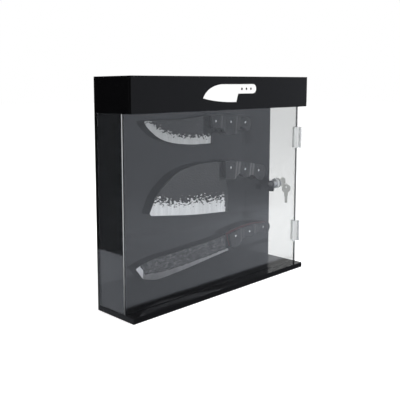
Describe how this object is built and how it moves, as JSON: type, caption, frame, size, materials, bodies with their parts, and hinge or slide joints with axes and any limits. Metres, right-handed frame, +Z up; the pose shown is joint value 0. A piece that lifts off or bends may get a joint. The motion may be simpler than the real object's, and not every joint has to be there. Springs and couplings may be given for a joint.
{
  "type": "knife display case",
  "caption": "Upright display case of black and clear sheet with a header, magnet-held knives on a dark back panel and a locking side door on corner hinges.",
  "frame": {"origin": "centre of the base plate's underside", "axes": "+X to the right seen from the front, +Y from front to back, +Z up"},
  "size_m": [0.5199, 0.0955, 0.4],
  "materials": {
    "black_sheet": "polished",
    "clear_sheet": "clear polished",
    "white_figure": "satin",
    "pin_steel": "ground",
    "magnet_coat": "matte black",
    "lock_chrome": "polished plate",
    "key_nickel": "nickel plate",
    "cam_steel": "zinc plate",
    "wafer_brass": "stamped",
    "blade_steel": "dark hammered flats with a bright ground edge",
    "handle_black": "satin",
    "rivet_steel": "polished",
    "liner_red": "fibre"
  },
  "bodies": {
    "case": {"base_plate": "black_sheet", "back_panel": "black_sheet", "front_panel": "clear_sheet", "left_panel": "clear_sheet", "header_front": "black_sheet", "header_back": "black_sheet", "header_left_end": "black_sheet", "header_right_end": "black_sheet", "header_floor": "black_sheet", "header_lid": "black_sheet", "header_figure": "white_figure", "upper_hinge_case_leaf": "clear_sheet", "lower_hinge_case_leaf": "clear_sheet", "upper_hinge_pin": "pin_steel", "lower_hinge_pin": "pin_steel", "cam_catch": "black_sheet", "top_magnet_bar": "magnet_coat", "middle_magnet_bar": "magnet_coat", "bottom_magnet_bar": "magnet_coat"},
    "door": {"side_door": "clear_sheet", "upper_hinge_door_leaf": "clear_sheet", "lower_hinge_door_leaf": "clear_sheet", "lock_housing": "lock_chrome", "lock_washer": "lock_chrome", "lock_nut": "lock_chrome"},
    "lock_core": {"lock_plug": "lock_chrome", "lock_wafer_1": "wafer_brass", "lock_wafer_2": "wafer_brass", "lock_wafer_3": "wafer_brass", "lock_wafer_4": "wafer_brass", "lock_cam": "cam_steel", "cam_screw": "lock_chrome"},
    "key": {"lock_key": "key_nickel"},
    "ring": {"key_ring": "key_nickel"},
    "spare": {"spare_key": "key_nickel"},
    "top_knife": {"top_knife_blade": "blade_steel", "top_knife_front_scale": "handle_black", "top_knife_back_scale": "handle_black", "top_knife_rivet_1": "rivet_steel", "top_knife_rivet_2": "rivet_steel", "top_knife_rivet_3": "rivet_steel"},
    "middle_knife": {"middle_knife_blade": "blade_steel", "middle_knife_front_scale": "handle_black", "middle_knife_back_scale": "handle_black", "middle_knife_rivet_1": "rivet_steel", "middle_knife_rivet_2": "rivet_steel", "middle_knife_rivet_3": "rivet_steel"},
    "bottom_knife": {"bottom_knife_blade": "blade_steel", "bottom_knife_front_scale": "handle_black", "bottom_knife_back_scale": "handle_black", "bottom_knife_front_liner": "liner_red", "bottom_knife_back_liner": "liner_red", "bottom_knife_rivet_1": "rivet_steel", "bottom_knife_rivet_2": "rivet_steel", "bottom_knife_rivet_3": "rivet_steel"}
  },
  "joints": [
    {"name": "door_swing", "type": "hinge", "parent": "case", "child": "door", "pos_m": [0.2438, -0.031, 0.175], "axis": [0, 0, -1], "range_deg": [0, 180]},
    {"name": "lock_turn", "type": "hinge", "parent": "door", "child": "lock_core", "pos_m": [0.2403, 0.0255, 0.1725], "axis": [1, 0, 0], "range_deg": [0, 90]},
    {"name": "key_pull", "type": "slide", "parent": "lock_core", "child": "key", "axis": [1, 0, 0], "range_m": [0, 0.018]},
    {"name": "ring_swing", "type": "hinge", "parent": "key", "child": "ring", "pos_m": [0.26515, 0.0255, 0.1712], "axis": [0, -1, 0], "range_deg": [0, 60]},
    {"name": "spare_key_swing", "type": "hinge", "parent": "ring", "child": "spare", "pos_m": [0.27576, 0.0255, 0.16059], "axis": [0, 1, 0], "range_deg": [-25, 10]},
    {"name": "top_knife_lift", "type": "slide", "parent": "case", "child": "top_knife", "axis": [0, -1, 0], "range_m": [0, 0.04]},
    {"name": "middle_knife_lift", "type": "slide", "parent": "case", "child": "middle_knife", "axis": [0, -1, 0], "range_m": [0, 0.04]},
    {"name": "bottom_knife_lift", "type": "slide", "parent": "case", "child": "bottom_knife", "axis": [0, -1, 0], "range_m": [0, 0.04]}
  ]
}
